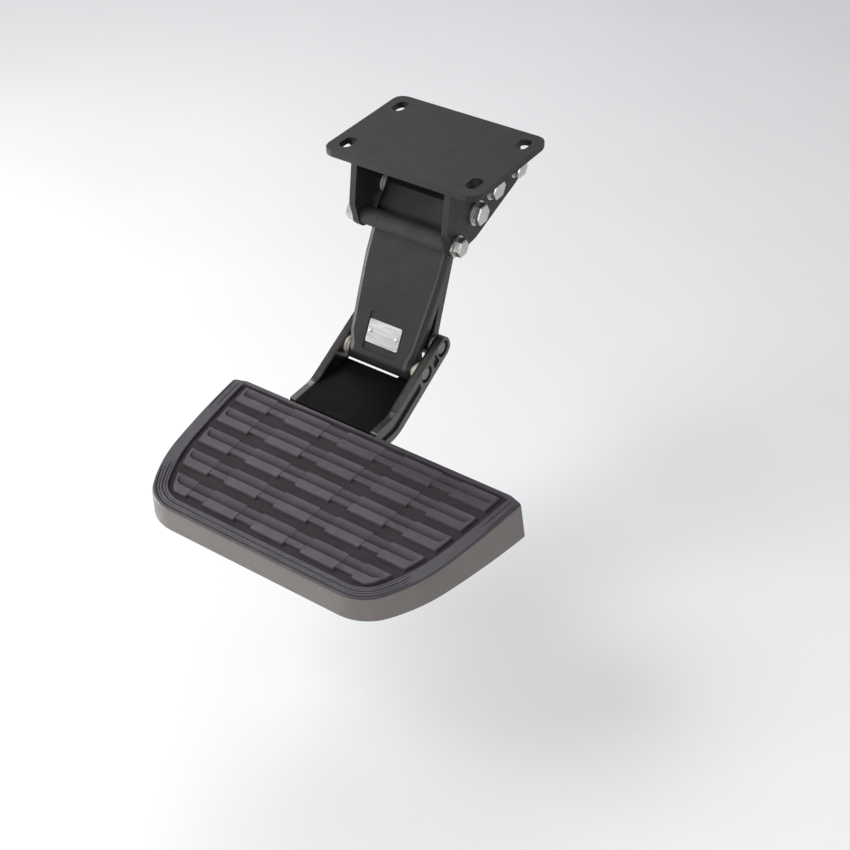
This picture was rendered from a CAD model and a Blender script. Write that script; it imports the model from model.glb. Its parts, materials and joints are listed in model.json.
"""The looks of a retractable corner step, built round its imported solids.

The tread pad is modelled again here with its full tread. The other solids keep their shape and
get rounded edges and finished materials. Units are metres, in the part's own frame.
"""

import json
import math

import bmesh
import bpy
import numpy as np
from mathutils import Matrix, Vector


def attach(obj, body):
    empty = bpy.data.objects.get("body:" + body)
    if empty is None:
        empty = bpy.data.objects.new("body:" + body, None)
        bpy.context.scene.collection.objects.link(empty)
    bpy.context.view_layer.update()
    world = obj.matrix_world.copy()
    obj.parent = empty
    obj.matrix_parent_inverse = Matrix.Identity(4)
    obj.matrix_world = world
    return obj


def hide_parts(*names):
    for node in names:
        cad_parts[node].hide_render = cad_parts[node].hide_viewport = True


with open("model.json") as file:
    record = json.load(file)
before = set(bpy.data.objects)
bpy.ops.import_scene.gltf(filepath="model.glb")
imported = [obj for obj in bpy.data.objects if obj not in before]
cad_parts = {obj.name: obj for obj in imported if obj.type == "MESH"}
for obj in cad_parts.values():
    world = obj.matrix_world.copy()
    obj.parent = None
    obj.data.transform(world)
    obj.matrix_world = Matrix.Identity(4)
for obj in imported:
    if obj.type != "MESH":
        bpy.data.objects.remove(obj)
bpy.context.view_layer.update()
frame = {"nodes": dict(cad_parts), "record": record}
MOUNTS = {m["name"]: Vector(m["pos_m"]) for m in frame["record"]["mounts"]}
MOUNT_BEHIND = 0.008  # the tread's mount lies this far behind the pad's middle
PAD = MOUNTS["tread"] - Vector((0, MOUNT_BEHIND, 0))  # middle of the pad's top

# Camera: as the photograph sees the step, from the right, in front and above
CAMERA_AIM = Vector((0.1016, -0.1707, -0.1509))
CAMERA_AZIMUTH = math.radians(33.4)
CAMERA_ELEVATION = math.radians(39.7)
CAMERA_DISTANCE = 1.15
CAMERA_LENS = 59.3  # mm
CAMERA_SENSOR = 36  # mm
FLOOR_Z = -0.46
FLOOR_SIZE = 6

# Tread pad, about the middle of its top
PAD_FRONT = -0.0828
PAD_BACK = 0.0862
PAD_FRONT_HALF = 0.0842  # half the straight part of the front edge
PAD_SHELL = 0.003  # thickness of the skirt
PAD_THICK = 0.0055  # thickness of the top
SKIRT_FRONT = 0.0234  # height of the skirt at the front
SKIRT_MORE = 0.0108  # and how much higher it is at the back
FLARE_FRONT = 0.0004  # how far the skirt's ends lean out at the front
FLARE_MORE = 0.0046  # and how much further at the back
FLARE_FROM = 0.060  # the full flare is reached this far from the middle
FOOT_UP = 0.0006  # height and depth of the chamfer round the skirt's lower edge
FOOT_IN = 0.0004
INSIDE_CHAMFER = 0.0010  # between the skirt's inside and the top's underside
TOP_EDGE = 3  # faces round the border's outer edge, which are finished like the skirt
SKIRT_FACES = 6  # and the skirt's own faces, counted from its lower edge
MOVE_STEPS = 24  # points along each move of an outline

# The arm, whose middle is at x = 0, and the notch that it stands in
ARM_HALF = 0.04675
ARM_ROOM = 0.0005
NOTCH_TOP = 0.0843  # the border is cut away behind this
NOTCH_LOW = 0.0780  # and the skirt under it behind this
NOTCH_BACK = 0.100
NOTCH_DEEP = 0.05  # the cuts reach this far below the pad's top
NOTCH_HIGH = 0.01  # and the border's this far above it
NOTCH_LAP = 0.0001  # the skirt's cut runs this far into the top

# Ribs under the tread
RIB_HALF = 0.0012
SIDE_RIB_X = 0.126
SIDE_RIB_Y = (-0.040, 0.083)
FRONT_RIB_HALF = 0.100
FRONT_RIB_Y = -0.0660
RIB_DEEP = 0.020
RIB_LAP = 0.0002  # how far a rib runs into the top

# Tread
PITCH = 0.0301
ROWS = 5
MIDDLE_NUMBER = ROWS // 2
MIDDLE_ROW = -0.00245  # front edge of the middle row
LAND = 0.0091  # depth of a row's flat top
NARROW_LATER = 0.0032  # the flat top of a narrow stretch starts this much further back
ROW_DEPTH = 0.0199  # from a row's front edge to the rim behind its scoop
RIM_SHIFT = 0.0008  # the rim of a narrow stretch stands this far forward
SCOOP_DEEP = 0.0034
GROOVE_DEEP = 0.0028
NARROW_LOWER = 0.0005  # a narrow stretch stands this much lower than a wide one
JOGS = (0.0176, 0.0358, 0.0711, 0.0893)  # where a row changes between wide and narrow
FAN = 1.09  # how the jogs spread towards the back, per metre
FIELD_FRONT = -0.0682
FIELD_BACK = 0.0818
FIELD_UNDER = 0.0012  # how far the field reaches under the border
FIELD_FLOOR = 0.0046  # depth of the gap between tread and border
FIELD_SLAB = 0.0050  # thickness of the tread's slab
ROW_END_GAP = 0.0049
SCOOP_END = 0.0080  # a scoop's round end starts this far from the row's end
SCOOP_CURVE = 1.4  # how the scoop deepens towards its front
SCOOP_LEAST = 0.03  # share of its depth at the rim
SCOOP_OUTER_SOFT = (-0.0001, 0.0005)  # where its round edge and its front edge fall away
SCOOP_FRONT_SOFT = (-0.0002, 0.0003)
EDGE_SOFT = 0.00035  # half the width of a moulded edge
JOG_SOFT = 0.0003  # and of the step at a jog
GRID_INNER = 0.078  # the tread's grid crowds round the jogs inside this, and is even outside
GRID_OUTER = 0.134
GRID_OUTER_COLUMNS = 112

# Border, with its insets measured from the pad's outer edge
BORDER_START = 0.0029  # inset where the border's rounded outer edge ends
BORDER_STOP = 0.0010  # and how far before the tread its rounded inner edge starts
STRONG_LINES = (0.093, 0.589)  # the border's grooves, as shares of its flat
FAINT_LINES = (0.346, 0.840)
LINE_HALF = 0.055  # half a groove's width, as a share of the flat
STRONG_DEEP = 0.0011
FAINT_DEEP = 0.0005
FRONT_LINES_END = (-0.050, -0.043)  # the front grooves fade out between these
BACK_LINES_START = (0.036, 0.041)  # the back ones fade in and out between these
BACK_LINES_END = (0.074, 0.080)
FACES_ASIDE = 0.9  # an outline is a side where its outward direction's x is more than this
# Roundings of the border's two edges, as distance from the tread or inset, and height
INNER_ROUND = ((0.0, -FIELD_FLOOR), (0.0, -0.0030), (-0.0004, -0.0012), (-0.0009, -0.0003))
OUTER_ROUND = ((0.0018, -0.0003), (0.0009, -0.0010), (0.0003, -0.0021), (0.0, -0.0034))

# Shading
SHARP_ANGLE = math.radians(35)  # edges sharper than this stay sharp, or get rounded
ROUND_SEGMENTS = 3
WELD = 0.00002


# ---------------------------------------------------------------- node materials


class Nodes:
    """Small helper that adds nodes to one material and joins them up."""

    def __init__(self, name):
        self.material = bpy.data.materials.new(name)
        self.material.use_nodes = True
        self.tree = self.material.node_tree
        self.shader = self.tree.nodes["Principled BSDF"]
        self.place = self.add("ShaderNodeTexCoord").outputs["Object"]

    def add(self, kind, **settings):
        """Adds a node and sets what is given by name."""
        node = self.tree.nodes.new(kind)
        for key, value in settings.items():
            setattr(node, key, value)
        return node

    def link(self, source, target):
        self.tree.links.new(source, target)

    def noise(self, scale, detail=3.0, roughness=0.55):
        """Noise in the object's own space, between 0 and 1."""
        node = self.add("ShaderNodeTexNoise")
        self.link(self.place, node.inputs["Vector"])
        node.inputs["Scale"].default_value = scale
        node.inputs["Detail"].default_value = detail
        node.inputs["Roughness"].default_value = roughness
        return node.outputs["Fac"]

    def ramp(self, source, stops):
        """Colour ramp from (position, (r, g, b)) stops."""
        node = self.add("ShaderNodeValToRGB")
        self.link(source, node.inputs["Fac"])
        elements = node.color_ramp.elements
        while len(elements) < len(stops):
            elements.new(0.5)
        for element, (position, colour) in zip(elements, stops):
            element.position = position
            element.color = (*colour, 1)
        return node.outputs["Color"]

    def spread(self, source, low, high, start=0.3, end=0.7):
        """Maps a texture's usual range to low..high."""
        node = self.add("ShaderNodeMapRange")
        self.link(source, node.inputs["Value"])
        for key, value in (("From Min", start), ("From Max", end), ("To Min", low), ("To Max", high)):
            node.inputs[key].default_value = value
        return node.outputs["Result"]

    def mix(self, factor, first, second):
        """Mixes two colours or values, each given as a socket or a constant."""
        node = self.add("ShaderNodeMix", data_type="RGBA")
        sockets = (node.inputs[0], node.inputs[6], node.inputs[7])
        for socket, value in zip(sockets, (factor, first, second)):
            if isinstance(value, bpy.types.NodeSocket):
                self.link(value, socket)
            elif isinstance(value, tuple):
                socket.default_value = (*value, 1)
            else:
                socket.default_value = value
        return node.outputs[2]

    def bump(self, source, distance, strength=1.0, below=None):
        """Bump from a texture, on top of another bump where one is given."""
        node = self.add("ShaderNodeBump")
        node.inputs["Distance"].default_value = distance
        node.inputs["Strength"].default_value = strength
        self.link(source, node.inputs["Height"])
        if below is not None:
            self.link(below, node.inputs["Normal"])
        return node.outputs["Normal"]

    def finish(self, colour, roughness, normal, metallic=0.0, specular=0.5):
        """Joins the maps to the shader and returns the finished material."""
        self.link(colour, self.shader.inputs["Base Color"])
        self.link(roughness, self.shader.inputs["Roughness"])
        self.link(normal, self.shader.inputs["Normal"])
        self.shader.inputs["Metallic"].default_value = metallic
        self.shader.inputs["Specular IOR Level"].default_value = specular
        return self.material


def tread_material():
    """Charcoal moulded plastic: smooth lands with a cool sheen, darker and rougher grooves."""
    nodes = Nodes("tread_plastic")
    split = nodes.add("ShaderNodeSeparateXYZ")
    nodes.link(nodes.place, split.inputs[0])
    height = nodes.spread(split.outputs["Z"], 0.0, 1.0, PAD.z - 0.0026, PAD.z - 0.0003)
    mottled = nodes.noise(55, 4)
    grain = nodes.noise(1500, 2)
    land = nodes.ramp(mottled, [(0.3, (0.042, 0.036, 0.044)), (0.7, (0.058, 0.050, 0.061))])
    groove = nodes.ramp(mottled, [(0.3, (0.034, 0.026, 0.030)), (0.7, (0.046, 0.037, 0.042))])
    top = nodes.mix(height, groove, land)
    colour = nodes.mix(nodes.spread(grain, 0.0, 0.16), top, (0.12, 0.112, 0.120))
    gloss = nodes.spread(nodes.noise(240, 3), 0.34, 0.50)
    dull = nodes.spread(nodes.noise(300, 3), 0.62, 0.78)
    rough = nodes.mix(height, dull, gloss)
    nodes.link(nodes.spread(height, 0.10, 0.45, 0.0, 1.0), nodes.shader.inputs["Specular IOR Level"])
    normal = nodes.bump(grain, 0.00020, 0.8, nodes.bump(nodes.noise(600, 3), 0.00018, 0.5))
    return nodes.finish(colour, rough, normal)


def skirt_material():
    """The same plastic where it is spark-textured: the skirt, warmer and more worn."""
    nodes = Nodes("skirt_plastic")
    grain = nodes.noise(900, 4, 0.65)
    mottled = nodes.noise(30, 4)
    base = nodes.ramp(mottled, [(0.3, (0.105, 0.094, 0.088)), (0.7, (0.135, 0.121, 0.114))])
    colour = nodes.mix(nodes.spread(grain, 0.0, 0.55), base, (0.190, 0.175, 0.165))
    rough = nodes.spread(nodes.noise(300, 3), 0.38, 0.56)
    normal = nodes.bump(grain, 0.00030, 0.7)
    return nodes.finish(colour, rough, normal, specular=0.45)


def orange_peel(nodes):
    """The fine and broad ripple of a coated casting."""
    broad = nodes.bump(nodes.noise(90, 2), 0.0004, 0.25)
    return nodes.bump(nodes.noise(620, 3), 0.00012, 0.5, broad)


def cast_material(name, dark, light, rough_low, rough_high, specular):
    """Black coated casting: orange-peel skin, faint dust and slow changes of gloss."""
    nodes = Nodes(name)
    cloud = nodes.noise(18, 3)
    dust = nodes.noise(260, 5, 0.7)
    base = nodes.ramp(cloud, [(0.3, dark), (0.7, light)])
    colour = nodes.mix(nodes.spread(dust, 0.0, 0.05, 0.55, 0.8), base, (0.12, 0.108, 0.094))
    rough = nodes.spread(nodes.noise(70, 4), rough_low, rough_high)
    return nodes.finish(colour, rough, orange_peel(nodes), specular=specular)


def arm_material():
    """The arm's black coating: glossy on the walls, dull where feet and grit reach its floor."""
    nodes = Nodes("arm_black")
    split = nodes.add("ShaderNodeSeparateXYZ")
    nodes.link(nodes.place, split.inputs[0])
    above = nodes.spread(split.outputs["Z"], 0.0, 1.0, PAD.z + 0.0010, PAD.z + 0.0060)
    aside = nodes.add("ShaderNodeMath", operation="ABSOLUTE")
    nodes.link(split.outputs["X"], aside.inputs[0])
    outside = nodes.spread(aside.outputs[0], 0.0, 1.0, ARM_HALF - 0.0070, ARM_HALF - 0.0050)
    either = nodes.add("ShaderNodeMath", operation="MAXIMUM")
    nodes.link(above, either.inputs[0])
    nodes.link(outside, either.inputs[1])
    wall = either.outputs[0]
    cloud = nodes.noise(18, 3)
    dust = nodes.noise(260, 5, 0.7)
    base = nodes.ramp(cloud, [(0.3, (0.005, 0.004, 0.004)), (0.7, (0.008, 0.007, 0.007))])
    worn = nodes.mix(outside, base, (0.034, 0.030, 0.027))
    colour = nodes.mix(nodes.spread(dust, 0.0, 0.05, 0.55, 0.8), worn, (0.10, 0.090, 0.080))
    gloss = nodes.spread(nodes.noise(70, 4), 0.18, 0.30)
    dull = nodes.spread(nodes.noise(70, 4), 0.42, 0.56)
    nodes.link(nodes.spread(wall, 0.05, 0.60, 0.0, 1.0), nodes.shader.inputs["Specular IOR Level"])
    return nodes.finish(colour, nodes.mix(wall, dull, gloss), orange_peel(nodes))


def metal_material(name, colour_low, colour_high, rough_low, rough_high):
    """Plated or bare metal with fine scratches and uneven gloss."""
    nodes = Nodes(name)
    cloud = nodes.noise(45, 4)
    colour = nodes.ramp(cloud, [(0.3, colour_low), (0.7, colour_high)])
    rough = nodes.spread(nodes.noise(220, 5, 0.7), rough_low, rough_high)
    normal = nodes.bump(nodes.noise(900, 4, 0.7), 0.00006, 0.5)
    return nodes.finish(colour, rough, normal, metallic=1.0)


def rubber_material():
    """Matt black rubber of the stop sleeves."""
    nodes = Nodes("stop_rubber")
    cloud = nodes.noise(60, 4)
    colour = nodes.ramp(cloud, [(0.3, (0.012, 0.012, 0.012)), (0.7, (0.028, 0.027, 0.026))])
    rough = nodes.spread(nodes.noise(500, 3), 0.70, 0.90)
    return nodes.finish(colour, rough, nodes.bump(nodes.noise(1200, 3), 0.0001, 0.6))


def bush_material():
    """Pale bearing plastic."""
    nodes = Nodes("bearing_plastic")
    cloud = nodes.noise(90, 4)
    colour = nodes.ramp(cloud, [(0.3, (0.40, 0.37, 0.31)), (0.7, (0.50, 0.47, 0.41))])
    rough = nodes.spread(nodes.noise(400, 3), 0.35, 0.55)
    return nodes.finish(colour, rough, nodes.bump(nodes.noise(1500, 2), 0.00005, 0.4))


def label_material():
    """Blank plate in brushed aluminium: long fine lines across it."""
    nodes = Nodes("label_aluminium")
    stretch = nodes.add("ShaderNodeMapping")
    stretch.inputs["Scale"].default_value = (0.02, 1.0, 1.0)
    nodes.link(nodes.place, stretch.inputs["Vector"])
    lines = nodes.add("ShaderNodeTexNoise")
    lines.inputs["Scale"].default_value = 2600
    lines.inputs["Detail"].default_value = 2
    nodes.link(stretch.outputs["Vector"], lines.inputs["Vector"])
    colour = nodes.ramp(lines.outputs["Fac"], [(0.3, (0.46, 0.47, 0.48)), (0.7, (0.66, 0.67, 0.68))])
    rough = nodes.spread(lines.outputs["Fac"], 0.30, 0.45)
    return nodes.finish(colour, rough, nodes.bump(lines.outputs["Fac"], 0.00004, 0.5), metallic=0.9)


def floor_material():
    """Plain pale studio floor."""
    nodes = Nodes("studio_floor")
    colour = nodes.ramp(nodes.noise(3, 3), [(0.3, (0.86, 0.86, 0.86)), (0.7, (0.89, 0.89, 0.89))])
    rough = nodes.spread(nodes.noise(8, 3), 0.75, 0.85)
    return nodes.finish(colour, rough, nodes.bump(nodes.noise(150, 2), 0.0002, 0.2))


# ---------------------------------------------------------------- meshes


def new_piece(name, bm, *materials):
    """Makes an object at the origin from a bmesh, and frees the bmesh."""
    mesh = bpy.data.meshes.new(name)
    bm.to_mesh(mesh)
    bm.free()
    made = bpy.data.objects.new(name, mesh)
    bpy.context.scene.collection.objects.link(made)
    for material in materials:
        mesh.materials.append(material)
    return made


def smooth(made):
    """Smooth shading, except across sharp edges."""
    made.data.shade_smooth()
    made.data.set_sharp_from_angle(angle=SHARP_ANGLE)


def smoothstep(value, low, high):
    """Rises from 0 to 1 between low and high, with a level start and end."""
    share = np.clip((value - low) / (high - low), 0.0, 1.0)
    return share * share * (3 - 2 * share)


def pad_path(front, back, moves):
    """Points and outward directions round an outline that starts at its front middle.

    A move is a radius of an arc or length of a straight, and the heading it ends on in degrees.
    The other half mirrors the first one, and a straight at the back closes the outline.
    """
    place, heading = Vector((0, front)), 0.0
    half = []
    for size, ends_on in moves:
        turn = (math.radians(ends_on) - heading) / MOVE_STEPS
        straight = turn <= 1e-9
        step = size / MOVE_STEPS if straight else 2 * size * math.sin(turn / 2)
        for _ in range(MOVE_STEPS):
            half.append((place.copy(), Vector((math.sin(heading), -math.cos(heading)))))
            place += step * Vector((math.cos(heading + turn / 2), math.sin(heading + turn / 2)))
            heading += turn
    for k in range(MOVE_STEPS + 1):
        share = k / MOVE_STEPS
        at = Vector((place.x * (1 - share), place.y + (back - place.y) * share))
        half.append((at, Vector((0, 1))))
    other = reversed(half[1:-1])
    return half + [(Vector((-at.x, at.y)), Vector((-out.x, out.y))) for at, out in other]


def skirt_path():
    """The skirt's outline, with its back corners cut off at a slant."""
    front = ((PAD_FRONT_HALF, 0.0), (0.041, 57.6), (0.158, 76.7))
    back = ((0.880, 82.95), (0.003, 158.9), (0.0099, 158.9), (0.008, 179.7))
    return pad_path(PAD_FRONT, PAD_BACK, front + back)


def field_path():
    """The dark groove between the tread and its smooth border, with as many moves as the skirt."""
    front = ((0.08425, 0.0), (0.0265, 61.1), (0.180, 80.6))
    back = ((1.336, 83.9), (0.001, 130.0), (0.001, 179.7), (0.006, 179.7))
    return pad_path(FIELD_FRONT, FIELD_BACK, front + back)


def share_back(y):
    """How far back a place lies: 0 at the pad's front and 1 at its back."""
    return (y - PAD_FRONT) / (PAD_BACK - PAD_FRONT)


def border_height(share, y, outward):
    """Height of the border, with its grooves round the front and beside the back corners."""
    front = (1 - smoothstep(y, *FRONT_LINES_END)) * (outward.y < 0)
    back = smoothstep(y, *BACK_LINES_START) * (1 - smoothstep(y, *BACK_LINES_END))
    back = back * (abs(outward.x) > FACES_ASIDE)
    strong = (STRONG_LINES, STRONG_DEEP * (front + back / 2))
    faint = (FAINT_LINES, FAINT_DEEP * front)
    depth = 0.0
    for lines, deep in (strong, faint):
        for line in lines:
            depth = max(depth, deep * (1 - smoothstep(abs(share - line), 0, LINE_HALF)))
    return -depth


def border_shares():
    """Places across the border's flat: five to each groove, and two on the land between."""
    shares = [0.0]
    for line in sorted(STRONG_LINES + FAINT_LINES):
        between = shares[-1] + np.array((1, 2)) / 3 * (line - LINE_HALF - shares[-1])
        shares += list(between) + [line + LINE_HALF * k / 2 for k in range(-2, 3)]
    return shares + [(shares[-1] + 1) / 2, 1.0]


def ring_section(low, inner, shares):
    """One slice of the pad's rim, as points from the skirt's lower edge round to its outside."""
    (low_at, low_out), (inner_at, _) = low, inner
    depth = -SKIRT_FRONT - SKIRT_MORE * share_back(low_at.y)
    flare = FLARE_FRONT + FLARE_MORE * share_back(low_at.y)
    lean = max(-1.0, min(1.0, low_at.x / FLARE_FROM))
    top_at = Vector((low_at.x - lean * flare, low_at.y))
    across = inner_at - top_at
    width = across.length
    across.normalize()
    under = top_at - low_out * PAD_SHELL
    section = [(low_at, depth + FOOT_UP), (low_at - low_out * FOOT_IN, depth)]
    section.append((low_at - low_out * (PAD_SHELL - FOOT_IN), depth))
    section.append((low_at - low_out * PAD_SHELL, depth + FOOT_UP))
    section.append((under, -PAD_THICK - INSIDE_CHAMFER))
    section.append((under + across * INSIDE_CHAMFER, -PAD_THICK))
    section.append((inner_at + across * FIELD_UNDER, -PAD_THICK))
    section.append((inner_at + across * FIELD_UNDER, -FIELD_FLOOR))
    for at, z in INNER_ROUND:
        section.append((inner_at + across * at, z))
    squeeze = min(1.0, width / (3 * BORDER_START))
    start, stop = BORDER_START * squeeze, width - BORDER_STOP * squeeze
    for share in reversed(shares):
        inset = start + (stop - start) * share
        section.append((top_at + across * inset, border_height(share, top_at.y, low_out)))
    for inset, z in OUTER_ROUND:
        section.append((top_at + across * inset * squeeze, z))
    return section


def make_pad_ring():
    """Skirt and smooth border as one closed band round the tread, hollow below."""
    bm = bmesh.new()
    shares = border_shares()
    rings = []
    for low, inner in zip(skirt_path(), field_path()):
        section = ring_section(low, inner, shares)
        rings.append([bm.verts.new(PAD + Vector((at.x, at.y, z))) for at, z in section])
    for first, second in zip(rings, rings[1:] + rings[:1]):
        for i in range(len(first)):
            k = (i + 1) % len(first)
            face = bm.faces.new((first[i], second[i], second[k], first[k]))
            face.material_index = 1 if i < SKIRT_FACES or i >= len(first) - TOP_EDGE else 0
    bmesh.ops.recalc_face_normals(bm, faces=bm.faces)
    return bm


def field_half(y):
    """Half the tread's width at each depth, inside the border."""
    faces_right = [at for at, outward in field_path() if at.x > 0 and outward.x > 0.1]
    side = sorted((at.y, at.x) for at in faces_right if at.y < FIELD_BACK - 0.001)
    ys, xs = zip(*side)
    return np.interp(y, ys, xs)


def tread_height(x, y):
    """Height of the tread at arrays of places: lands, scoops behind them and grooves between."""
    across = np.abs(x) / (1 + FAN * y)
    narrow = np.zeros_like(x)
    for low, high in (JOGS[:2], JOGS[2:]):
        past_low = smoothstep(across - low, -JOG_SOFT, JOG_SOFT)
        narrow = np.maximum(narrow, past_low * smoothstep(high - across, -JOG_SOFT, JOG_SOFT))
    end = field_half(y) - ROW_END_GAP - np.abs(x)
    height = np.full_like(x, -GROOVE_DEEP)
    for row in range(ROWS):
        ahead = y - MIDDLE_ROW - PITCH * (MIDDLE_NUMBER - row)
        rim = ROW_DEPTH - narrow * RIM_SHIFT
        inside = smoothstep(ahead - narrow * NARROW_LATER, -EDGE_SOFT, EDGE_SOFT)
        inside = inside * smoothstep(rim - ahead, -EDGE_SOFT, EDGE_SOFT)
        inside = inside * smoothstep(end, -EDGE_SOFT, EDGE_SOFT)
        length = rim - LAND
        share = np.clip((rim - ahead) / length, 0, 1)
        past = np.maximum(0.0, SCOOP_END - end)
        off_middle = np.abs(ahead - LAND - length / 2)
        outside = np.sqrt(past**2 + off_middle**2) - length / 2
        in_scoop = smoothstep(-outside, *SCOOP_OUTER_SOFT)
        in_scoop = in_scoop * smoothstep(ahead - LAND, *SCOOP_FRONT_SOFT)
        scoop = SCOOP_LEAST + (1 - SCOOP_LEAST) * share**SCOOP_CURVE
        level = -SCOOP_DEEP * scoop * in_scoop - NARROW_LOWER * narrow
        height = np.maximum(height, inside * (level + GROOVE_DEEP) - GROOVE_DEEP)
        scooped = (inside > 0.5) & (level < -GROOVE_DEEP)
        height = np.where(scooped, level, height)
    return height


def spaced(marks, reach, fine, coarse, low, high):
    """Grid lines from low to high: fine within reach of each mark and coarse elsewhere."""
    lines = [low]
    while lines[-1] < high:
        here = lines[-1]
        near = min(abs(here + fine / 2 - mark) for mark in marks)
        step = fine if near < reach else min(coarse, max(fine, near - reach + fine))
        lines.append(min(high, here + step))
    return np.array(lines)


def tread_grid():
    """Places of the tread's grid, as arrays of x and y: it follows the edges of rows and jogs."""
    marks_y = []
    for row in range(ROWS):
        front = MIDDLE_ROW + PITCH * (MIDDLE_NUMBER - row)
        marks_y += [front, front + NARROW_LATER, front + LAND]
        marks_y += [front + ROW_DEPTH, front + ROW_DEPTH - RIM_SHIFT]
    low, high = FIELD_FRONT - FIELD_UNDER, FIELD_BACK + FIELD_UNDER
    depths = spaced(marks_y, reach=0.0006, fine=0.00022, coarse=0.0016, low=low, high=high)
    jogs = [sign * jog for jog in JOGS for sign in (-1, 1)]
    inner = spaced(jogs, reach=0.0005, fine=0.00015, coarse=0.0050, low=-GRID_INNER, high=GRID_INNER)
    ends = np.linspace(GRID_INNER, GRID_OUTER, GRID_OUTER_COLUMNS + 1)
    columns, y = np.meshgrid(np.concatenate([-ends[:0:-1], inner, ends[1:]]), depths)
    return columns * (1 + FAN * y), y


def make_tread():
    """The tread as a slab whose top is the grid, raised and sunk by its height."""
    x, y = tread_grid()
    height = tread_height(x, y)
    keep = np.abs(x) < field_half(y) + FIELD_UNDER
    bm = bmesh.new()
    index = {}

    def vertex(i, k):
        if (i, k) not in index:
            index[i, k] = bm.verts.new(PAD + Vector((x[i, k], y[i, k], height[i, k])))
        return index[i, k]

    rows, columns = x.shape
    for i in range(rows - 1):
        for k in range(columns - 1):
            if keep[i, k] and keep[i + 1, k] and keep[i, k + 1] and keep[i + 1, k + 1]:
                bm.faces.new((vertex(i, k), vertex(i, k + 1), vertex(i + 1, k + 1), vertex(i + 1, k)))
    rim = [edge for edge in bm.edges if edge.is_boundary]
    for made in bmesh.ops.extrude_edge_only(bm, edges=rim)["geom"]:
        if isinstance(made, bmesh.types.BMVert):
            made.co.z = PAD.z - FIELD_SLAB
    bmesh.ops.holes_fill(bm, edges=[edge for edge in bm.edges if edge.is_boundary], sides=0)
    bmesh.ops.recalc_face_normals(bm, faces=bm.faces)
    return bm


def box_mesh(low, high):
    """A box between two corners."""
    bm = bmesh.new()
    made = bmesh.ops.create_cube(bm, size=1.0)
    for corner in made["verts"]:
        corner.co = Vector([(a + b) / 2 + c * (b - a) for a, b, c in zip(low, high, corner.co)])
    return bm


def cut(target, bm):
    """Takes a bmesh's shape out of a piece made here."""
    tool = new_piece("cutter", bm)
    step = target.modifiers.new("cut", "BOOLEAN")
    step.operation = "DIFFERENCE"
    step.solver = "EXACT"
    step.object = tool
    bpy.context.view_layer.update()
    graph = bpy.context.evaluated_depsgraph_get()
    mesh = bpy.data.meshes.new_from_object(target.evaluated_get(graph))
    target.modifiers.clear()
    target.data = mesh
    bpy.data.objects.remove(tool)


def make_ribs(material):
    """Stiffening ribs under the tread, outside the platform that carries it."""
    front, back = SIDE_RIB_Y
    boxes = [((x - RIB_HALF, front), (x + RIB_HALF, back)) for x in (-SIDE_RIB_X, SIDE_RIB_X)]
    front, back = FRONT_RIB_Y - RIB_HALF, FRONT_RIB_Y + RIB_HALF
    boxes.append(((-FRONT_RIB_HALF, front), (FRONT_RIB_HALF, back)))
    ribs = []
    for number, (low, high) in enumerate(boxes):
        top = PAD + Vector((*high, RIB_LAP - PAD_THICK))
        mesh = box_mesh(PAD + Vector((*low, -RIB_DEEP)), top)
        ribs.append(new_piece(f"tread_rib_{number + 1}", mesh, material))
    return ribs


def make_pad(tread, skirt):
    """The tread pad: rim with a notch for the arm, tread and ribs, in place of the CAD pad."""
    ring = new_piece("tread_rim", make_pad_ring(), tread, skirt)
    room = ARM_HALF + ARM_ROOM
    back, deep = PAD.y + NOTCH_BACK, PAD.z - NOTCH_DEEP
    for front, top in ((NOTCH_TOP, NOTCH_HIGH), (NOTCH_LOW, NOTCH_LAP - PAD_THICK)):
        cut(ring, box_mesh((-room, PAD.y + front, deep), (room, back, PAD.z + top)))
    field = new_piece("tread_field", make_tread(), tread)
    for made in (ring, field, *make_ribs(skirt)):
        smooth(made)
        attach(made, "step")
    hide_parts("step_pad")


# ---------------------------------------------------------------- carried-over solids


def round_edges(name, width):
    """Rounds a solid's sharp edges with a modifier, and leaves its mesh as it is."""
    node = frame["nodes"][name]
    merge = node.modifiers.new("merge", "WELD")
    merge.merge_threshold = WELD
    bevel = node.modifiers.new("rounding", "BEVEL")
    bevel.width = width
    bevel.segments = ROUND_SEGMENTS
    bevel.limit_method = "ANGLE"
    bevel.angle_limit = SHARP_ANGLE
    bevel.harden_normals = True
    bevel.use_clamp_overlap = True


def paint(name, material):
    """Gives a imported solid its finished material."""
    node = frame["nodes"][name]
    node.data.materials.clear()
    node.data.materials.append(material)


def dress_solids():
    """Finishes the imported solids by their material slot, and rounds the castings' edges."""
    dark = (0.013, 0.013, 0.014)
    link = cast_material("link_black", dark, (0.019, 0.018, 0.019), 0.32, 0.37, 0.45)
    bracket = cast_material("bracket_black", dark, (0.015, 0.015, 0.015), 0.46, 0.54, 0.35)
    zinc = metal_material("zinc_plate", (0.50, 0.50, 0.48), (0.64, 0.64, 0.61), 0.22, 0.42)
    pin = metal_material("pin_steel", (0.15, 0.14, 0.13), (0.25, 0.24, 0.22), 0.20, 0.34)
    spring = metal_material("spring_steel", (0.12, 0.12, 0.13), (0.22, 0.22, 0.23), 0.28, 0.44)
    finishes = {
        "cast_black": arm_material(),
        "link_black": link,
        "bracket_black": bracket,
        "zinc": zinc,
        "pin_steel": pin,
        "spring_steel": spring,
        "rubber": rubber_material(),
        "bush_white": bush_material(),
        "label_plate": label_material(),
    }
    for entry in frame["record"]["subparts"]:
        if entry["material_slot"] in finishes:
            paint(entry["node"], finishes[entry["material_slot"]])
    round_edges("step_arm", 0.0009)
    round_edges("front_link", 0.0008)
    round_edges("rear_link", 0.0010)
    round_edges("mounting_bracket", 0.0007)


# ---------------------------------------------------------------- studio


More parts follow.
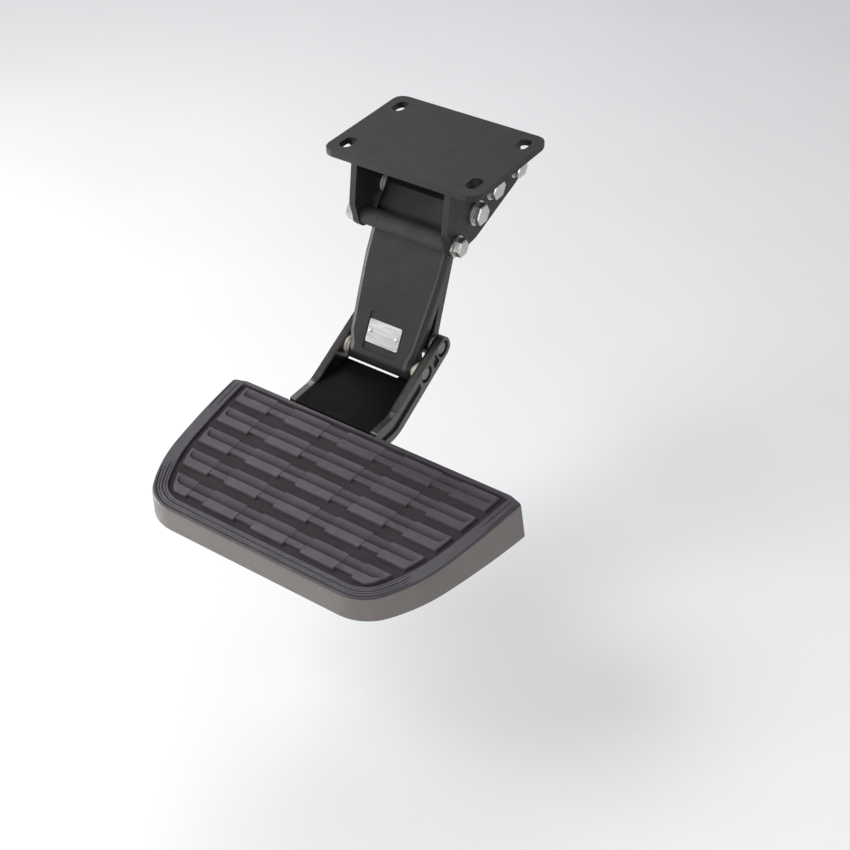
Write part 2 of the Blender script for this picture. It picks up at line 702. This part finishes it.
def add_area(name, place, aim, size, power, colour=(1, 1, 1)):
    """A rectangular light that faces a point."""
    data = bpy.data.lights.new(name, "AREA")
    data.shape = "RECTANGLE"
    data.size, data.size_y = size
    data.energy = power
    data.color = colour
    made = bpy.data.objects.new(name, data)
    bpy.context.scene.collection.objects.link(made)
    made.location = place
    made.rotation_euler = (Vector(aim) - Vector(place)).to_track_quat("-Z", "Y").to_euler()


def make_studio():
    """Pale floor, five soft lights and a faint sky."""
    bm = bmesh.new()
    bmesh.ops.create_grid(bm, x_segments=2, y_segments=2, size=FLOOR_SIZE)
    floor = new_piece("studio_floor", bm, floor_material())
    floor.location.z = FLOOR_Z
    middle = PAD + Vector((0, 0.05, 0))
    add_area("key", middle + Vector((-1.1, -1.2, 2.0)), middle, (1.2, 1.2), 30, (1.0, 0.985, 0.965))
    add_area("front", middle + Vector((0.2, -2.0, 0.5)), middle, (1.8, 0.7), 14, (1.0, 0.985, 0.96))
    add_area("side", middle + Vector((1.9, -0.4, 0.7)), middle, (0.9, 0.8), 10)
    add_area("sheen", middle + Vector((-1.2, 1.25, 1.95)), middle, (1.3, 0.8), 17, (0.95, 0.965, 1.0))
    add_area("strip", middle + Vector((-1.42, -0.53, -0.03)), middle, (0.35, 0.9), 24)
    world = bpy.data.worlds.new("studio")
    bpy.context.scene.world = world
    world.use_nodes = True
    background = world.node_tree.nodes["Background"]
    background.inputs["Color"].default_value = (0.94, 0.96, 1.0, 1)
    background.inputs["Strength"].default_value = 0.35
    bpy.context.scene.view_settings.view_transform = "Standard"


def make_camera():
    """The camera, set by where it aims, from which side and how far off."""
    flat = math.cos(CAMERA_ELEVATION)
    away = Vector(
        (math.sin(CAMERA_AZIMUTH) * flat, -math.cos(CAMERA_AZIMUTH) * flat, math.sin(CAMERA_ELEVATION))
    )
    data = bpy.data.cameras.new("camera")
    data.lens = CAMERA_LENS
    data.sensor_width = CAMERA_SENSOR
    made = bpy.data.objects.new("camera", data)
    bpy.context.scene.collection.objects.link(made)
    made.location = CAMERA_AIM + CAMERA_DISTANCE * away
    made.rotation_euler = (-away).to_track_quat("-Z", "Y").to_euler()
    bpy.context.scene.camera = made


make_camera()
make_studio()
make_pad(tread_material(), skirt_material())
dress_solids()
